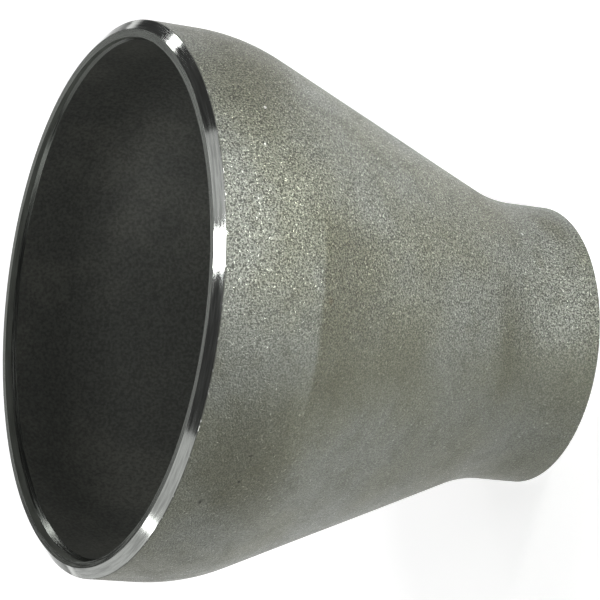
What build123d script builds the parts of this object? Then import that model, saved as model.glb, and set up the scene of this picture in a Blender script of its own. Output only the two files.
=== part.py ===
from build123d import *
import os
from math import atan2, degrees, radians, sqrt, tan

# Concentric weld reducer: one seamless steel shell that joins two pipe sizes. It stands on its
# small end. The origin is the centre of the small end face, +Z is the axis of the fitting and
# points to the large end, and every size is in millimetres.

# Overall sizes
large_diameter = 114.3
small_diameter = 60.3
length = 102.0

# Wall at the machined ends, which sets the bore that the pipe has to meet
large_wall = 3.6
small_wall = 2.9

# Depth that boring takes off the thicker pressed wall at each mouth
large_bore_cut = 0.6
small_bore_cut = 0.5

# Straight ends, and the outside radii of the bends between them and the cone
large_straight = 12.0
small_straight = 10.0
shoulder_radius = 40.0
neck_radius = 33.0

# Weld preparation: bevel angle from the end plane, flat root face, and the rounded outer edge
bevel_angle = 37.5
root_face = 1.5
edge_round = 0.2

# Inside of each end: the depth bored true, and the slope that runs out to the pressed wall
bored_depth = 1.2
run_out_angle = 35.0


def s_curve(small_end, large_end, neck, shoulder):
    """Draws one side of the wall: straight, neck bend, cone, shoulder bend, straight.

    small_end and large_end are lines along the axis. The bends leave and meet them at a tangent.
    """
    start = small_end @ 1
    rise = (large_end @ 0).Y - start.Y
    step = (large_end @ 0).X - start.X
    bends = neck + shoulder
    cone_length = sqrt(rise**2 + step**2 - 2 * bends * step)
    turn = degrees(atan2(bends, cone_length) - atan2(bends - step, rise))
    neck_bend = JernArc(start, small_end % 1, neck, -turn)
    cone = PolarLine(neck_bend @ 1, cone_length, direction=neck_bend % 1)
    shoulder_bend = JernArc(cone @ 1, cone % 1, shoulder, turn)
    return neck_bend, cone, shoulder_bend


def bevel_rise(wall):
    """Height that the weld bevel takes off the outside of an end with this wall."""
    return (wall - root_face) * tan(radians(bevel_angle))


def run_out(bore_cut):
    """Length of the slope between the bored end and the pressed wall behind it."""
    return bore_cut / tan(radians(run_out_angle))


# Wall of the pressed shell behind the machined ends
large_shell_wall = large_wall + large_bore_cut
small_shell_wall = small_wall + small_bore_cut

# Outside and bore radii at the two ends
large_radius = large_diameter / 2
small_radius = small_diameter / 2
large_bore = large_radius - large_wall
small_bore = small_radius - small_wall
large_shell_bore = large_radius - large_shell_wall
small_shell_bore = small_radius - small_shell_wall

# Heights where the straight ends meet the bends
neck_start = small_straight
shoulder_end = length - large_straight

# Heights where the outside bevels and the inside run-outs end
small_bevel_top = bevel_rise(small_wall)
large_bevel_bottom = length - bevel_rise(large_wall)
small_run_out_top = bored_depth + run_out(small_bore_cut)
large_run_out_bottom = length - bored_depth - run_out(large_bore_cut)

with BuildPart() as reducer:
    with BuildSketch(Plane.XZ) as section:
        with BuildLine() as outline:
            # Outside of the shell, from the small end up
            small_outside = Line((small_radius, small_bevel_top), (small_radius, neck_start))
            large_outside = Line((large_radius, shoulder_end), (large_radius, large_bevel_bottom))
            s_curve(small_outside, large_outside, neck_radius, shoulder_radius)
            # Weld preparation of the large end, and its bored mouth
            Polyline(
                (large_radius, large_bevel_bottom),
                (large_bore + root_face, length),
                (large_bore, length),
                (large_bore, length - bored_depth),
                (large_shell_bore, large_run_out_bottom),
            )
            # Inside of the shell
            small_inside = Line((small_shell_bore, small_run_out_top), (small_shell_bore, neck_start))
            large_inside = Line((large_shell_bore, shoulder_end), (large_shell_bore, large_run_out_bottom))
            s_curve(
                small_inside,
                large_inside,
                neck_radius + small_shell_wall,
                shoulder_radius - large_shell_wall,
            )
            # Bored mouth of the small end, and its weld preparation
            Polyline(
                (small_shell_bore, small_run_out_top),
                (small_bore, bored_depth),
                (small_bore, 0),
                (small_bore + root_face, 0),
                (small_radius, small_bevel_top),
            )
        make_face()
        # The outer edge of each bevel, just rounded
        small_bevel_corner = Vector(small_radius, small_bevel_top)
        large_bevel_corner = Vector(large_radius, large_bevel_bottom)
        bevel_corners = [
            section.vertices().sort_by_distance(corner)[0]
            for corner in (small_bevel_corner, large_bevel_corner)
        ]
        fillet(bevel_corners, edge_round)
    revolve(axis=Axis.Z)

os.makedirs("parts", exist_ok=True)
export_step(reducer.part, "parts/reducer_body.step")
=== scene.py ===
import logging
import math
from collections.abc import Iterable
from dataclasses import dataclass
from enum import Enum

import bmesh
import bpy
from mathutils import Matrix, Quaternion, Vector, noise


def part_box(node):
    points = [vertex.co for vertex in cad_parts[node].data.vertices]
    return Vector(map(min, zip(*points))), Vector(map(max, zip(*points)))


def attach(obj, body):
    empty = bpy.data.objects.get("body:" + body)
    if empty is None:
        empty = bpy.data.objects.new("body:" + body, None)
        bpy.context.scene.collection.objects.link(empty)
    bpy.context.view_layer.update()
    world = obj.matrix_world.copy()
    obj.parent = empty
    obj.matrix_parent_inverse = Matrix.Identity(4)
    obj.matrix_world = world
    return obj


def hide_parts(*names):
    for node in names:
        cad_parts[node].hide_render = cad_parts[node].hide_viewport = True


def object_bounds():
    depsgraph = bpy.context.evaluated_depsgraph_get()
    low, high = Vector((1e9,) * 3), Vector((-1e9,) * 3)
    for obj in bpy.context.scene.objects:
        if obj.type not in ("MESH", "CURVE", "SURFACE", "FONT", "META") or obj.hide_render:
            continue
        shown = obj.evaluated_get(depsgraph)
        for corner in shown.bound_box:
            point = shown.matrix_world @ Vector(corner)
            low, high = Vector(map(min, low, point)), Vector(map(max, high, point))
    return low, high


# Concentric weld reducer, standing on its small end with the large mouth up. One seamless shell:
# blasted outside, dark scale inside, and a turned weld bevel and bored mouth at each end. The
# origin is the centre of the small end face, +Z is the axis, and every length is in metres.

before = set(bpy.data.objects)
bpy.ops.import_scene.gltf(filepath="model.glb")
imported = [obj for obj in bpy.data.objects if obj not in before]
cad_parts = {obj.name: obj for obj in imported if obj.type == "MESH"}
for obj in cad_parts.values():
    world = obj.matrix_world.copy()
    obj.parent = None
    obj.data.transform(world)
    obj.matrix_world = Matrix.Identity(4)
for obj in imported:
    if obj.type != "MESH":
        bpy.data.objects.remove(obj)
CAD_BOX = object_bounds()

LOG = logging.getLogger("weld_reducer")
MM = 0.001
WELD = 0.001 * MM
NODE = "reducer_body"


class Value:
    """A node socket that takes Python's arithmetic, which adds Math nodes behind it."""

    def __init__(self, graph: "Graph", socket: bpy.types.NodeSocket) -> None:
        """Keeps the socket and the graph that it belongs to."""
        self.graph = graph
        self.socket = socket

    def __add__(self, other: "Value | float") -> "Value":
        """Returns this plus other."""
        return self.graph.math("ADD", self, other)

    __radd__ = __add__

    def __sub__(self, other: "Value | float") -> "Value":
        """Returns this less other."""
        return self.graph.math("SUBTRACT", self, other)

    def __rsub__(self, other: "Value | float") -> "Value":
        """Returns other less this."""
        return self.graph.math("SUBTRACT", other, self)

    def __mul__(self, other: "Value | float") -> "Value":
        """Returns this times other."""
        return self.graph.math("MULTIPLY", self, other)

    __rmul__ = __mul__

    def __pow__(self, other: "Value | float") -> "Value":
        """Returns this to the power of other."""
        return self.graph.math("POWER", self, other)


class Graph:
    """A node tree under construction."""

    def __init__(self, tree: bpy.types.NodeTree) -> None:
        """Empties the tree and keeps it."""
        tree.nodes.clear()
        self.tree = tree

    def add(
        self,
        kind: str,
        settings: dict[str, object] | None = None,
        inputs: dict[str | int, object] | None = None,
        output: str | int = 0,
    ) -> Value | None:
        """Adds a node.

        Args:
            kind: The node's type, such as ShaderNodeTexNoise.
            settings: Its attributes, which are set before its sockets.
            inputs: A value or a link for each socket, by name or number.
            output: The socket to return.

        Returns:
            The chosen output, or None for a node that has none.
        """
        node = self.tree.nodes.new(kind)
        for name, setting in (settings or {}).items():
            setattr(node, name, setting)
        for name, given in (inputs or {}).items():
            if isinstance(given, Value):
                self.tree.links.new(given.socket, node.inputs[name])
            else:
                node.inputs[name].default_value = given
        return Value(self, node.outputs[output]) if node.outputs else None

    def math(self, operation: str, first: Value | float, second: Value | float = 0.0) -> Value:
        """Returns one Math operation on two numbers."""
        return self.add("ShaderNodeMath", {"operation": operation}, {0: first, 1: second})

    def vector(self, operation: str, first: object, second: object = None, scale: object = None) -> Value:
        """Returns one Vector Math operation.

        Args:
            operation: Its name, such as ADD or LENGTH.
            first: The first vector.
            second: The second vector, where there is one.
            scale: The number that SCALE multiplies by.

        Returns:
            The vector, or the number of LENGTH and DOT_PRODUCT.
        """
        given = {0: first, 1: second, "Scale": scale}
        inputs = {name: value for name, value in given.items() if value is not None}
        output = "Value" if operation in ("LENGTH", "DOT_PRODUCT") else "Vector"
        return self.add("ShaderNodeVectorMath", {"operation": operation}, inputs, output)

    def mix(self, factor: Value | float, first: object, second: object) -> Value:
        """Returns the colour that lies between two colours."""
        settings = {"data_type": "RGBA"}
        inputs = {"Factor": factor, 6: first, 7: second}
        return self.add("ShaderNodeMix", settings, inputs, 2)

    def ease(self, value: Value, start: float, end: float, low: float = 0.0, high: float = 1.0) -> Value:
        """Returns low to high as value goes smoothly from start to end, and no further."""
        settings = {"interpolation_type": "SMOOTHSTEP"}
        inputs = {0: value, 1: start, 2: end, 3: low, 4: high}
        return self.add("ShaderNodeMapRange", settings, inputs)

    def noise(self, place: Value, scale: float, detail: float = 2.0, roughness: float = 0.5) -> Value:
        """Returns noise from 0 to 1, with scale features in a metre."""
        inputs = {"Vector": place, "Scale": scale, "Detail": detail, "Roughness": roughness}
        return self.add("ShaderNodeTexNoise", {"noise_dimensions": "3D"}, inputs)

    def bump(self, height: Value, distance: float) -> Value:
        """Returns the normal of a surface that height raises by up to distance."""
        return self.add("ShaderNodeBump", None, {"Strength": 1.0, "Distance": distance, "Height": height})

    def place(self) -> Value:
        """Returns the place on the object, in its own metres."""
        return self.add("ShaderNodeTexCoord", output="Object")

    def surface(self, **inputs: object) -> None:
        """Ends a material in one Principled BSDF.

        Args:
            inputs: Its sockets, with underscores for spaces.
        """
        named = {name.replace("_", " "): value for name, value in inputs.items()}
        shader = self.add("ShaderNodeBsdfPrincipled", inputs=named)
        self.add("ShaderNodeOutputMaterial", inputs={"Surface": shader})


def new_material(name: str) -> tuple[bpy.types.Material, Graph]:
    """Returns an empty material and its graph."""
    material = bpy.data.materials.new(name)
    material.use_nodes = True
    return material, Graph(material.node_tree)


def colour(red: float, green: float, blue: float) -> tuple[float, float, float, float]:
    """Returns an opaque colour, in linear light."""
    return red, green, blue, 1.0


class Zone(Enum):
    """Surfaces of the shell that have a finish of their own; the value is the material slot."""

    BLASTED = 0
    EDGE = 1
    BEVEL = 2
    ROOT_FACE = 3
    BORED = 4
    RUN_OUT = 5
    INSIDE = 6


@dataclass(frozen=True)
class ColourPatch:
    """A soft-edged patch on the outside of the shell.

    Attributes:
        angle: Where it lies round the axis, in degrees from +X.
        height: Height of its centre above the small end.
        radius: Radius of the shell there.
        around: Half its width round the shell.
        along: Half its length along the shell.
        depth: How strongly it colours, from 0 to 1.
    """

    angle: float
    height: float
    radius: float
    around: float
    along: float
    depth: float

    def mask(self, graph: Graph, place: Value) -> Value:
        """Returns the patch's strength: depth at its centre, falling to 0 at its edge."""
        turn = math.radians(self.angle)
        centre = (self.radius * math.cos(turn), self.radius * math.sin(turn), self.height)
        local = graph.add(
            "ShaderNodeMapping",
            {"vector_type": "TEXTURE"},
            {
                "Vector": place,
                "Location": centre,
                "Rotation": (0.0, 0.0, turn),
                "Scale": (self.around + self.along, self.around, self.along),
            },
        )
        near = graph.add("ShaderNodeTexGradient", {"gradient_type": "SPHERICAL"}, {0: local}, "Fac")
        return graph.ease(near, 0.0, 0.8, 0.0, self.depth)


@dataclass(frozen=True)
class PaintedBendShade:
    """Painted shade: a darker patch with a sharp edge across the shell, fading out below that edge.

    Attributes:
        angle: Where its middle lies round the axis, in degrees from +X.
        spread: Half its width round the axis, in degrees.
        height: Height of the sharp edge above the small end.
        reach: How far below the edge it fades out.
        depth: How strongly it colours, from 0 to 1.
    """

    angle: float
    spread: float
    height: float
    reach: float
    depth: float
    sharpness: float = 0.8 * MM

    def mask(self, graph: Graph, place: Value) -> Value:
        """Returns the patch's strength: depth just below its edge, falling to 0 elsewhere."""
        turn, half = math.radians(self.angle), math.radians(self.spread)
        height = graph.vector("DOT_PRODUCT", place, (0.0, 0.0, 1.0))
        spoke = graph.vector("NORMALIZE", graph.vector("MULTIPLY", place, (1.0, 1.0, 0.0)))
        facing = graph.vector("DOT_PRODUCT", spoke, (math.cos(turn), math.sin(turn), 0.0))
        across = graph.ease(facing, math.cos(half), math.cos(half / 2), 0.0, self.depth)
        edge = graph.ease(height, self.height - self.sharpness, self.height, 1.0, 0.0)
        fade = graph.ease(height, self.height - self.reach, self.height - self.reach / 4)
        return across * edge * fade


@dataclass(frozen=True)
class BlastedSteel:
    """Shot-blasted shell: grey-olive steel with a fine grain, faint stains, painted shade and painted glints.

    The grain's colour contrast and a painted sparkle of bright facets are strongest on the lit side at
    sparkle_side degrees from +X, and weaker round the back.
    """

    olive: tuple = colour(0.168, 0.175, 0.138)
    blue_grey: tuple = colour(0.188, 0.198, 0.172)
    # Brown of the stains, also used for painted shade.
    brown_and_painted_shade: tuple = colour(0.104, 0.104, 0.068)
    rust: tuple = colour(0.100, 0.062, 0.040)
    fleck: tuple = colour(0.03, 0.03, 0.024)
    # Near-white colour of the painted glints: painted highlights.
    painted_glint_white: tuple = colour(0.75, 0.76, 0.72)
    grain_scale: float = 3000.0
    grain_height: float = 0.24 * MM
    sparkle_side: float = 308.0
    # Painted shade: a darker patch below a sharp edge on the shoulder bend.
    crease: PaintedBendShade = PaintedBendShade(272.0, 25.0, 79.5 * MM, 22 * MM, 0.65, 1.6 * MM)
    # Darker brown patches: partly real stains, partly painted shade where less light falls on the shell.
    brown_stains_and_painted_shade: tuple[ColourPatch, ...] = (
        ColourPatch(241.0, 88 * MM, 57 * MM, 20 * MM, 17 * MM, 0.6),
        ColourPatch(332.0, 88 * MM, 57 * MM, 34 * MM, 16 * MM, 0.6),
        ColourPatch(325.0, 24 * MM, 33 * MM, 15 * MM, 10 * MM, 0.45),
        ColourPatch(268.0, 22 * MM, 32 * MM, 18 * MM, 9 * MM, 0.3),
        ColourPatch(232.0, 84 * MM, 57 * MM, 14 * MM, 12 * MM, 0.35),
        ColourPatch(264.0, 56 * MM, 46.5 * MM, 12 * MM, 12 * MM, 0.4),
        ColourPatch(327.0, 7 * MM, 30 * MM, 8 * MM, 6 * MM, 0.6),
        ColourPatch(284.0, 25 * MM, 33.5 * MM, 13 * MM, 5 * MM, 0.3),
        ColourPatch(262.0, 24 * MM, 33 * MM, 12 * MM, 4 * MM, 0.3),
    )
    rust_spots: tuple[ColourPatch, ...] = (ColourPatch(274.3, 76.9 * MM, 54.9 * MM, 1.1 * MM, 0.9 * MM, 0.7),)
    flecks: tuple[ColourPatch, ...] = (
        ColourPatch(230.0, 94.5 * MM, 57.1 * MM, 0.9 * MM, 0.5 * MM, 0.9),
        ColourPatch(257.4, 77.6 * MM, 55.2 * MM, 0.7 * MM, 0.5 * MM, 0.6),
        ColourPatch(235.8, 88.4 * MM, 57.1 * MM, 0.5 * MM, 0.4 * MM, 0.9),
        ColourPatch(242.0, 88.0 * MM, 57.1 * MM, 0.6 * MM, 0.5 * MM, 0.6),
    )

    # Painted highlights: small near-white spots laid into the colour as glints.
    painted_glints: tuple[ColourPatch, ...] = (
        ColourPatch(314.4, 88.6 * MM, 57.1 * MM, 0.5 * MM, 0.5 * MM, 0.9),
        ColourPatch(304.7, 90.6 * MM, 57.1 * MM, 0.5 * MM, 0.4 * MM, 0.7),
        ColourPatch(318.0, 17.0 * MM, 30.9 * MM, 0.5 * MM, 0.5 * MM, 0.9),
        ColourPatch(301.5, 14.9 * MM, 30.5 * MM, 0.4 * MM, 0.4 * MM, 0.7),
    )

    def tinted(self, graph: Graph, base: Value, patches: Iterable[ColourPatch], tint: tuple, place: Value) -> Value:
        """Returns base with a tint laid over it at each of the patches."""
        for one_patch in patches:
            base = graph.mix(one_patch.mask(graph, place), base, tint)
        return base

    def painted_sparkle_strength(self, graph: Graph, place: Value) -> Value:
        """Returns how strong the grain's colour contrast and the painted sparkle are: strongest on the lit
        side of the shell, as painted highlight.
        """
        turn = math.radians(self.sparkle_side)
        spoke = graph.vector("NORMALIZE", graph.vector("MULTIPLY", place, (1.0, 1.0, 0.0)))
        facing = graph.vector("DOT_PRODUCT", spoke, (math.cos(turn), math.sin(turn), 0.0))
        return graph.ease(facing, 0.6, 1.0, 0.6, 1.6)

    def material(self) -> bpy.types.Material:
        """Returns the finish as a material."""
        material, graph = new_material("blasted_steel")
        place = graph.place()
        cloud = graph.noise(place, 42.0, 3.0, 0.6)
        patch = graph.noise(place, 170.0, 3.0, 0.6)
        grain = graph.noise(place, self.grain_scale, 2.0, 0.5)
        drift = graph.add("ShaderNodeTexNoise", None, {"Vector": place, "Scale": 120.0, "Detail": 3.0}, 1)
        swirl = graph.vector("SUBTRACT", drift, (0.5, 0.5, 0.5))
        wandering = graph.vector("ADD", place, graph.vector("SCALE", swirl, scale=6 * MM))
        base = graph.mix(graph.ease(cloud, 0.38, 0.62), self.olive, self.blue_grey)
        base = graph.mix(graph.ease(patch, 0.45, 0.75, 0.0, 0.35), base, self.brown_and_painted_shade)
        # Brown patches, partly stains and partly painted shade.
        base = self.tinted(graph, base, self.brown_stains_and_painted_shade, self.brown_and_painted_shade, wandering)
        base = self.tinted(graph, base, self.rust_spots, self.rust, place)
        base = self.tinted(graph, base, self.flecks, self.fleck, place)
        # Painted highlights: the near-white glint spots.
        base = self.tinted(graph, base, self.painted_glints, self.painted_glint_white, place)
        # Painted shade below the sharp edge on the shoulder bend.
        base = graph.mix(self.crease.mask(graph, place), base, self.brown_and_painted_shade)
        # Bright facets: lower roughness, and a brighter colour that is painted sparkle.
        facet_and_painted_sparkle = graph.ease(graph.noise(place, self.grain_scale * 0.8, 1.0), 0.60, 0.72)
        sparkle_strength = self.painted_sparkle_strength(graph, place)
        # Grain colour and painted sparkle, stronger on the lit side: painted highlight.
        grain_and_painted_sparkle = 1.0 + (graph.ease(grain, 0.36, 0.66, -0.4, 0.4) + facet_and_painted_sparkle) * sparkle_strength
        base = graph.vector("SCALE", base, scale=grain_and_painted_sparkle)
        bump = graph.bump(grain, self.grain_height)
        rough = graph.ease(patch, 0.3, 0.7, 0.38, 0.46) - facet_and_painted_sparkle * 0.2
        graph.surface(Base_Color=base, Metallic=0.75, Roughness=rough, Normal=bump)
        return material


@dataclass(frozen=True)
class DarkScale:
    """Inside of the shell: dark forming scale, faintly mottled, with a few bright specks."""

    dark: tuple = colour(0.108, 0.113, 0.102)
    pale: tuple = colour(0.141, 0.145, 0.128)

    def material(self) -> bpy.types.Material:
        """Returns the finish as a material."""
        material, graph = new_material("dark_scale")
        place = graph.place()
        cloud = graph.noise(place, 55.0, 4.0, 0.6)
        grain = graph.noise(place, 1500.0, 2.0, 0.6)
        base = graph.mix(graph.ease(cloud, 0.4, 0.65), self.dark, self.pale)
        base = graph.vector("SCALE", base, scale=graph.ease(grain, 0.3, 0.7, 0.75, 1.25))
        bump = graph.bump(grain, 0.03 * MM)
        graph.surface(Base_Color=base, Metallic=0.3, Roughness=0.55, Normal=bump)
        return material


@dataclass(frozen=True)
class TurnedSteel:
    """Bright machined steel with tool rings round the axis.

    Attributes:
        name: The material's name.
        tone: Its colour, in linear light.
        roughness: Roughness between the rings.
        ring_height: How much the rings stand up in the bump.
        rings: Rings in a metre, measured across the face.
        metallic: How far it is plain metal, and not oxide.
    """

    name: str
    tone: tuple
    roughness: float
    ring_height: float = 0.004 * MM
    rings: float = 3500.0
    metallic: float = 1.0

    def material(self) -> bpy.types.Material:
        """Returns the finish as a material."""
        material, graph = new_material(self.name)
        place = graph.place()
        flat = graph.vector("MULTIPLY", place, (1.0, 1.0, 0.0))
        spoke = graph.vector("NORMALIZE", flat)
        height = graph.vector("DOT_PRODUCT", place, (0.0, 0.0, 1.0))
        across = graph.vector("LENGTH", flat) + height * 0.7
        ringed = graph.add("ShaderNodeCombineXYZ", None, {2: across * self.rings})
        along = graph.vector("ADD", ringed, graph.vector("SCALE", spoke, scale=5.0))
        streak = graph.noise(along, 1.0, 3.0, 0.65)
        bump = graph.bump(streak, self.ring_height)
        rough = graph.ease(streak, 0.3, 0.7, self.roughness * 0.7, self.roughness * 1.6)
        base = graph.vector("SCALE", self.tone[:3], scale=graph.ease(streak, 0.25, 0.7, 0.68, 1.14))
        graph.surface(Base_Color=base, Metallic=self.metallic, Roughness=rough, Normal=bump)
        return material


@dataclass(frozen=True)
class BurredEdge:
    """Edge between the bevel and the blasted shell: dull, with a bright nick here and there."""

    dull: tuple = colour(0.16, 0.165, 0.145)
    bright: tuple = colour(0.85, 0.86, 0.83)

    def material(self) -> bpy.types.Material:
        """Returns the finish as a material."""
        material, graph = new_material("burred_edge")
        nick = graph.ease(graph.noise(graph.place(), 900.0, 1.0), 0.62, 0.70)
        base = graph.mix(nick, self.dull, self.bright)
        graph.surface(Base_Color=base, Metallic=0.9, Roughness=0.5 - nick * 0.3)
        return material


class Outline:
    """A closed section drawn with a pen, which is then spun about the axis into faces.

    Radii are along X and heights along Z. Each edge notes its zone, and the spin copies the note.
    """

    def __init__(self, mesh: bmesh.types.BMesh, radius: float, height: float) -> None:
        """Sets the pen down at a radius and a height."""
        self.mesh = mesh
        self.tip = Vector((radius, 0.0, height))
        self.note = mesh.edges.layers.int.new("zone")

    def mark(self, zone: Zone) -> None:
        """Notes the zone on the edges that have none yet, as slot plus one."""
        for edge in self.mesh.edges:
            edge[self.note] = edge[self.note] or zone.value + 1

    def line(self, radius: float, height: float, zone: Zone, steps: int = 1) -> None:
        """Draws a straight stretch.

        Args:
            radius: Radius of its far end.
            height: Height of its far end.
            zone: The finish of its faces.
            steps: How many rows of faces it gets.
        """
        far = Vector((radius, 0.0, height))
        ends = [self.mesh.verts.new(self.tip), self.mesh.verts.new(far)]
        edge = self.mesh.edges.new(ends)
        if steps > 1:
            bmesh.ops.subdivide_edges(self.mesh, edges=[edge], cuts=steps - 1)
        self.tip = far
        self.mark(zone)

    def bend(self, centre: Vector, turn: float, zone: Zone, steps: int) -> None:
        """Draws an arc.

        Args:
            centre: The arc's centre, in the XZ plane.
            turn: Its angle, in radians, positive from +Z towards +X.
            zone: The finish of its faces.
            steps: How many rows of faces it gets.
        """
        start = self.mesh.verts.new(self.tip)
        axis = (0.0, 1.0, 0.0)
        swept = bmesh.ops.spin(self.mesh, geom=[start], cent=centre, axis=axis, angle=turn, steps=steps)
        self.tip = next(part for part in swept["geom_last"] if isinstance(part, bmesh.types.BMVert)).co.copy()
        self.mark(zone)

    def spin(self, turns: int) -> None:
        """Turns the whole section once about the axis.

        Args:
            turns: How many faces each ring gets.
        """
        bmesh.ops.remove_doubles(self.mesh, verts=self.mesh.verts, dist=WELD)
        bmesh.ops.spin(
            self.mesh,
            geom=[*self.mesh.verts, *self.mesh.edges],
            cent=(0.0, 0.0, 0.0),
            axis=(0.0, 0.0, 1.0),
            angle=math.tau,
            steps=turns,
            use_merge=True,
        )
        bmesh.ops.remove_doubles(self.mesh, verts=self.mesh.verts, dist=WELD)
        bmesh.ops.recalc_face_normals(self.mesh, faces=self.mesh.faces)
        for face in self.mesh.faces:
            face.material_index = max(edge[self.note] for edge in face.edges) - 1


@dataclass(frozen=True)
class End:
    """One machined end of the shell.

    Attributes:
        radius: Outside radius of the straight end.
        wall: Wall at the machined face.
        bore_cut: How far boring opens the pressed wall.
        straight: Length of the straight end.
        face: Height of the end face.
        inward: 1 where the shell lies above the face, and -1 where it lies below.
    """

    radius: float
    wall: float
    bore_cut: float
    straight: float
    face: float
    inward: int
    root_face: float = 1.5 * MM
    bevel_angle: float = math.radians(37.5)
    bored_depth: float = 1.2 * MM
    run_out_angle: float = math.radians(35.0)

    def height(self, depth: float) -> float:
        """Returns the height at a depth behind the end face."""
        return self.face + self.inward * depth

    @property
    def bore(self) -> float:
        """Radius of the bored mouth."""
        return self.radius - self.wall

    @property
    def shell_bore(self) -> float:
        """Inside radius of the pressed wall behind the mouth."""
        return self.bore - self.bore_cut

    @property
    def root_rim(self) -> float:
        """Radius where the root face meets the bevel."""
        return self.bore + self.root_face

    @property
    def bevel_depth(self) -> float:
        """Depth that the bevel takes off the outside."""
        return (self.radius - self.root_rim) * math.tan(self.bevel_angle)

    @property
    def run_out_depth(self) -> float:
        """Depth where the slope behind the mouth meets the pressed wall."""
        return self.bored_depth + self.bore_cut / math.tan(self.run_out_angle)


@dataclass(frozen=True)
class ReducerShell:
    """The whole fitting: one seamless shell between two machined ends.

    Attributes:
        large: The large end, at the top.
        small: The small end, at the bottom.
        shoulder: Outside radius of the bend below the large end.
        neck: Outside radius of the bend above the small end.
        turns: Faces round the axis.
        lean: How far the large bore is off centre, towards -X.
        dip: How much deeper the large mouth is bored on its deep side.
        ripple: How far the pressed wall dips in from its true form.
        burr: Width of the edge left between bevel and blasted shell.
    """

    large: End
    small: End
    shoulder: float = 40.0 * MM
    neck: float = 33.0 * MM
    turns: int = 288
    lean: float = 0.18 * MM
    dip: float = 0.6 * MM
    ripple: float = 0.12 * MM
    burr: float = 0.11 * MM
    edge_break: float = 0.035 * MM

    @classmethod
    def from_frame(cls) -> "ReducerShell":
        """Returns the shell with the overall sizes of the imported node."""
        low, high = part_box(NODE)
        large = End((high.x - low.x) / 2, 3.6 * MM, 0.6 * MM, 12.0 * MM, high.z, -1)
        small = End(30.15 * MM, 2.9 * MM, 0.5 * MM, 10.0 * MM, low.z, 1)
        return cls(large, small)

    def wall(self, outline: Outline, inside: bool) -> None:
        """Draws one side of the wall between the two straight ends.

        Args:
            outline: The pen, at the foot of the neck bend outside, or at the top of the shoulder
                bend inside.
            inside: Whether to draw the inner side, from the top down.
        """
        low = self.small.shell_bore if inside else self.small.radius
        high = self.large.shell_bore if inside else self.large.radius
        neck = self.neck + (self.small.wall + self.small.bore_cut if inside else 0.0)
        shoulder = self.shoulder - (self.large.wall + self.large.bore_cut if inside else 0.0)
        foot = self.small.height(self.small.straight)
        top = self.large.height(self.large.straight)
        rise, step, bends = top - foot, high - low, neck + shoulder
        slope = math.sqrt(rise**2 + step**2 - 2 * bends * step)
        turn = math.atan2(bends, slope) - math.atan2(bends - step, rise)
        neck_centre = Vector((low + neck, 0.0, foot))
        shoulder_centre = Vector((high - shoulder, 0.0, top))
        reach = Vector((math.cos(turn), 0.0, -math.sin(turn)))
        if inside:
            zone = Zone.INSIDE
            outline.bend(shoulder_centre, turn, zone, 10)
            far = neck_centre - neck * reach
            outline.line(far.x, far.z, zone, 32)
            outline.bend(neck_centre, -turn, zone, 10)
        else:
            zone = Zone.BLASTED
            outline.bend(neck_centre, turn, zone, 10)
            far = shoulder_centre + shoulder * reach
            outline.line(far.x, far.z, zone, 36)
            outline.bend(shoulder_centre, -turn, zone, 10)

    def draw(self, mesh: bmesh.types.BMesh) -> None:
        """Draws the closed section from the small bevel up the outside, and spins it."""
        large, small = self.large, self.small
        outline = Outline(mesh, small.root_rim, small.face)
        outline.line(small.radius, small.height(small.bevel_depth), Zone.BEVEL)
        outline.line(small.radius, small.height(small.straight), Zone.BLASTED, 6)
        self.wall(outline, inside=False)
        outline.line(large.radius, large.height(large.bevel_depth), Zone.BLASTED, 7)
        outline.line(large.root_rim, large.face, Zone.BEVEL)
        outline.line(large.bore, large.face, Zone.ROOT_FACE)
        outline.line(large.bore, large.height(large.bored_depth), Zone.BORED)
        outline.line(large.shell_bore, large.height(large.run_out_depth), Zone.RUN_OUT)
        outline.line(large.shell_bore, large.height(large.straight), Zone.INSIDE, 6)
        self.wall(outline, inside=True)
        outline.line(small.shell_bore, small.height(small.run_out_depth), Zone.INSIDE, 5)
        outline.line(small.bore, small.height(small.bored_depth), Zone.RUN_OUT)
        outline.line(small.bore, small.face, Zone.BORED)
        outline.line(small.root_rim, small.face, Zone.ROOT_FACE)
        outline.spin(self.turns)

    def lean_bore(self, mesh: bmesh.types.BMesh) -> None:
        """Moves the large bored mouth a little off centre, and makes it deeper on one side."""
        large = self.large
        floor, slope_end = large.height(large.bored_depth), large.height(large.run_out_depth)
        near = 0.01 * MM
        for point in mesh.verts:
            radius = math.hypot(point.co.x, point.co.y)
            side = point.co.x / radius
            deeper = self.dip * (0.35 - side) / 1.35
            if abs(radius - large.bore) < near and point.co.z > floor - near:
                if abs(point.co.z - floor) < near:
                    point.co.z -= deeper
                point.co.x -= self.lean
            elif abs(radius - large.shell_bore) < near and abs(point.co.z - slope_end) < near:
                point.co.z -= deeper - self.lean * side / math.tan(large.run_out_angle)

    def ripple_wall(self, mesh: bmesh.types.BMesh) -> None:
        """Lets the pressed wall dip gently between the ends, never outside its true form."""
        foot = self.small.height(self.small.straight / 2)
        top = self.large.height(self.large.straight / 2)
        fade = 8 * MM
        for face in mesh.faces:
            face.tag = face.material_index in (Zone.BLASTED.value, Zone.INSIDE.value)
        for point in mesh.verts:
            if not all(face.tag for face in point.link_faces):
                continue
            inset = min(point.co.z - foot, top - point.co.z, fade) / fade
            if inset > 0:
                wave = 0.5 + 0.5 * noise.noise(point.co * 38.0)
                point.co -= point.normal * self.ripple * inset * min(max(wave, 0.0), 1.0)

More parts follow.
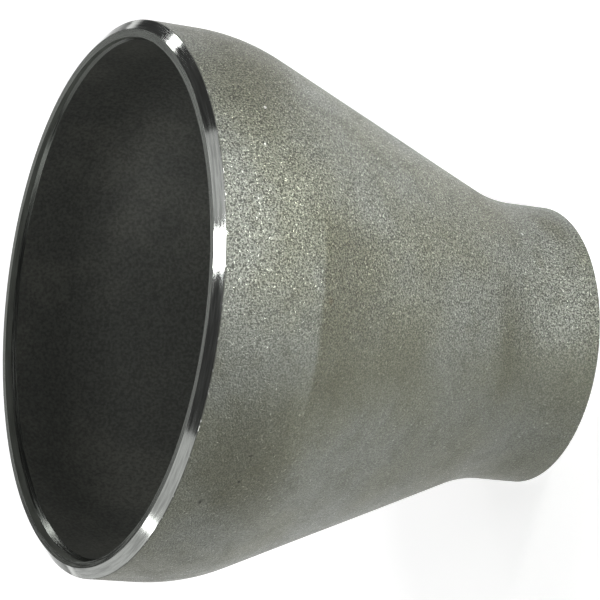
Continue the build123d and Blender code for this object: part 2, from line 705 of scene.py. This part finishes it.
    def break_edges(self, mesh: bmesh.types.BMesh) -> None:
        """Rounds every machined corner, with a wider burr where the bevel meets the outside."""
        corner = math.radians(14.0)
        outer = {Zone.BLASTED.value, Zone.BEVEL.value}
        rings: dict[bool, list[bmesh.types.BMEdge]] = {True: [], False: []}
        for edge in mesh.edges:
            if edge.calc_face_angle(0.0) > corner:
                rings[{face.material_index for face in edge.link_faces} == outer].append(edge)
        for is_burr, edges in rings.items():
            bmesh.ops.bevel(
                mesh,
                geom=edges,
                affect="EDGES",
                offset=self.burr if is_burr else self.edge_break,
                offset_type="OFFSET",
                segments=3 if is_burr else 2,
                profile=0.5,
                material=Zone.EDGE.value if is_burr else -1,
            )

    def build(self) -> bpy.types.Object:
        """Returns the shell as one closed mesh object."""
        mesh = bmesh.new()
        self.draw(mesh)
        self.lean_bore(mesh)
        mesh.normal_update()
        self.ripple_wall(mesh)
        self.break_edges(mesh)
        crease = math.radians(8.0)
        for edge in mesh.edges:
            edge.smooth = edge.calc_face_angle(0.0) < crease
        for face in mesh.faces:
            face.smooth = True
        data = bpy.data.meshes.new("reducer_shell")
        mesh.to_mesh(data)
        mesh.free()
        shell = bpy.data.objects.new("reducer_shell", data)
        bpy.context.scene.collection.objects.link(shell)
        return shell

    def dress(self, shell: bpy.types.Object) -> None:
        """Gives each zone its finish, and ties the shell to the frame."""
        finishes = {
            Zone.BLASTED: BlastedSteel(),
            Zone.EDGE: BurredEdge(),
            Zone.BEVEL: TurnedSteel("turned_bevel", colour(0.60, 0.62, 0.59), 0.08, 0.005 * MM),
            Zone.ROOT_FACE: TurnedSteel("root_face", colour(0.36, 0.38, 0.35), 0.24),
            # The bored mouth and its run-out are the same turned steel as the bevel, given darker tones:
            # painted shade inside the mouth.
            Zone.BORED: TurnedSteel("bored_mouth", colour(0.21, 0.225, 0.20), 0.5, metallic=0.3),
            Zone.RUN_OUT: TurnedSteel("bore_run_out", colour(0.16, 0.17, 0.155), 0.2, 0.0015 * MM),
            Zone.INSIDE: DarkScale(),
        }
        for zone in Zone:
            shell.data.materials.append(finishes[zone].material())
        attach(shell, "root")
        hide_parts(NODE)


@dataclass(frozen=True)
class SoftBox:
    """A rectangular studio lamp that faces the middle of the part.

    Attributes:
        name: The lamp's name.
        towards: Direction from the part to the lamp.
        width: Its angular width, in degrees, across.
        height: Its angular height, in degrees, the way that along points.
        level: Its brightness, where 1 is white.
        tint: Its colour.
        distance: How far it stands off.
        spread: How wide it shines, in degrees; a grid on the lamp makes it narrower.
        along: The way that its height runs, upwards where nothing else is said.
    """

    name: str
    towards: tuple[float, float, float]
    width: float
    height: float
    level: float
    tint: tuple[float, float, float] = (1.0, 1.0, 1.0)
    distance: float = 1.2
    spread: float = 180.0
    along: tuple[float, float, float] = (0.0, 0.0, 1.0)

    def build(self, target: Vector) -> bpy.types.Object:
        """Hangs the lamp.

        Args:
            target: The point that it faces.

        Returns:
            The lamp's object.
        """
        lamp = bpy.data.lights.new(self.name, "AREA")
        lamp.shape = "RECTANGLE"
        lamp.size = 2 * self.distance * math.tan(math.radians(self.width / 2))
        lamp.size_y = 2 * self.distance * math.tan(math.radians(self.height / 2))
        lamp.spread = math.radians(self.spread)
        lamp.color = self.tint
        lamp.energy = self.level * math.pi * lamp.size * lamp.size_y
        stand = bpy.data.objects.new(self.name, lamp)
        away = Vector(self.towards).normalized()
        stand.location = target + away * self.distance
        stand.rotation_mode = "QUATERNION"
        across = Vector(self.along).cross(away).normalized()
        turned = Matrix((across, away.cross(across), away)).transposed()
        stand.rotation_quaternion = turned.to_quaternion()
        stand.visible_camera = False
        bpy.context.scene.collection.objects.link(stand)
        return stand


@dataclass(frozen=True)
class Studio:
    """Pale floor, soft lamps, white surroundings and the camera.

    Attributes:
        lamps: The softboxes that face the part.
        pool: The gridded lamp that brightens the floor in front of the part.
        ambient: Level of the light from all round.
        ceiling: Brightness of the dark overhead that the eye and bright metal both see.
        floor_tone: How much light the floor returns.
        floor_glow: How much brighter the floor looks than it is lit.
        glow_radius: Radius of a painted pool of light on the floor, where its glow is full; the glow falls to
            a tenth by 1.8 times that radius.
        glow_centre: Middle of that painted pool of light, behind the part.
    """

    lamps: tuple[SoftBox, ...]
    pool: SoftBox
    ambient: float = 0.16
    ceiling: float = 0.05
    floor_tone: float = 0.78
    floor_glow: float = 0.62
    floor_radius: float = 4.0
    glow_radius: float = 0.27
    glow_centre: tuple[float, float, float] = (0.0, 0.15, 0.0)

    def seen(self, graph: Graph) -> Value:
        """Returns 1 for rays that see or mirror the background, and 0 for those that light."""
        kinds = ("Camera", "Glossy", "Transmission")
        rays = [graph.add("ShaderNodeLightPath", output=f"Is {kind} Ray") for kind in kinds]
        return graph.math("MINIMUM", rays[0] + rays[1] + rays[2], 1.0)

    def floor(self) -> None:
        """Lays the floor, a little brighter to the eye than it is lit, with a painted pool of light round
        glow_centre.
        """
        mesh = bmesh.new()
        bmesh.ops.create_circle(mesh, cap_ends=True, segments=96, radius=self.floor_radius)
        data = bpy.data.meshes.new("floor")
        mesh.to_mesh(data)
        mesh.free()
        floor = bpy.data.objects.new("floor", data)
        bpy.context.scene.collection.objects.link(floor)
        material, graph = new_material("pale_floor")
        distance = graph.vector("LENGTH", graph.vector("SUBTRACT", graph.place(), self.glow_centre))
        # Painted pool of light: the glow is full near glow_centre and fades further out.
        near = graph.ease(distance, self.glow_radius, self.glow_radius * 1.8, 1.0, 0.1)
        shine = graph.mix(self.seen(graph) * near * self.floor_glow, colour(0, 0, 0), colour(1, 1, 1))
        graph.surface(
            Base_Color=colour(*[self.floor_tone] * 3),
            Roughness=1.0,
            Specular_IOR_Level=0.0,
            Emission_Color=shine,
            Emission_Strength=1.0,
        )
        data.materials.append(material)

    def world(self) -> None:
        """Lights the part evenly; the eye and bright metal both see white, and dark overhead."""
        world = bpy.data.worlds.new("studio")
        bpy.context.scene.world = world
        world.use_nodes = True
        graph = Graph(world.node_tree)
        direction = graph.add("ShaderNodeTexCoord", output="Generated")
        height = graph.vector("DOT_PRODUCT", direction, (0.0, 0.0, 1.0))
        overhead = graph.ease(height, 0.0, 0.07)
        backdrop = graph.mix(overhead, colour(1, 1, 1), colour(*[self.ceiling] * 3))
        shown = graph.mix(self.seen(graph), colour(*[self.ambient] * 3), backdrop)
        shader = graph.add("ShaderNodeBackground", inputs={"Color": shown})
        graph.add("ShaderNodeOutputWorld", inputs={"Surface": shader})

    def camera(self) -> None:
        """Stands the camera at the photograph's angle, rolled so that the mouth is at the left."""
        target = Vector((4.06, 0.0, 56.84)) * MM
        azimuth, elevation, roll = math.radians(-0.43), math.radians(25.906), math.radians(-83.513)
        distance = 600.0 * MM
        level = math.cos(elevation)
        back = Vector((math.sin(azimuth) * level, -math.cos(azimuth) * level, math.sin(elevation)))
        lens = bpy.data.cameras.new("camera")
        lens.lens = 171.0
        lens.sensor_width = 36.0
        stand = bpy.data.objects.new("camera", lens)
        stand.location = target + back * distance
        stand.rotation_mode = "QUATERNION"
        stand.rotation_quaternion = back.to_track_quat("Z", "Y") @ Quaternion((0.0, 0.0, 1.0), roll)
        bpy.context.scene.collection.objects.link(stand)
        bpy.context.scene.camera = stand

    def build(self) -> None:
        """Sets the whole studio up."""
        bpy.context.scene.view_settings.view_transform = "Standard"
        self.floor()
        self.world()
        self.camera()
        middle = (CAD_BOX[0] + CAD_BOX[1]) / 2
        for lamp in self.lamps:
            lamp.build(middle)
        self.pool.build(Vector((115.0, -120.0, 0.0)) * MM)


LAMPS = (
    SoftBox("rim_strip", (0.64, 0.64, 0.42), 3.5, 14.0, 5.0),
    SoftBox("mouth_spot", (0.755, 0.60, 0.27), 7.0, 7.0, 9.0),
    SoftBox("top_strip", (0.22, -0.12, 0.97), 22.0, 8.5, 15.0, along=(0.94, 0.35, 0.0)),
    SoftBox("top_wash", (0.47, 0.03, 0.88), 16.0, 20.0, 0.5),
    SoftBox("face_wash", (0.02, 0.92, 0.39), 14.0, 14.0, 0.45),
    SoftBox("back_spot", (-0.67, 0.37, 0.65), 4.0, 4.0, 4.0),
    SoftBox("back_wash", (-0.60, 0.51, 0.56), 52.0, 68.0, 0.5),
    SoftBox("left_box", (-0.75, -0.43, 0.50), 30.0, 30.0, 1.6),
    SoftBox("high_back_box", (0.23, 0.52, 0.82), 28.0, 28.0, 1.4),
    SoftBox("low_front_box", (0.53, -0.85, 0.0), 34.0, 12.0, 5.4, distance=0.4, spread=100.0),
)
POOL = SoftBox("floor_pool", (0.35, -0.45, 0.82), 9.0, 9.0, 1.8, distance=0.8, spread=22.0)


def main() -> None:
    """Builds and dresses the reducer, and sets up the studio."""
    logging.basicConfig(level=logging.INFO)
    reducer = ReducerShell.from_frame()
    shell = reducer.build()
    reducer.dress(shell)
    LOG.info("%s: %d faces", shell.name, len(shell.data.polygons))
    Studio(LAMPS, POOL).build()


if __name__ == "__main__":
    main()
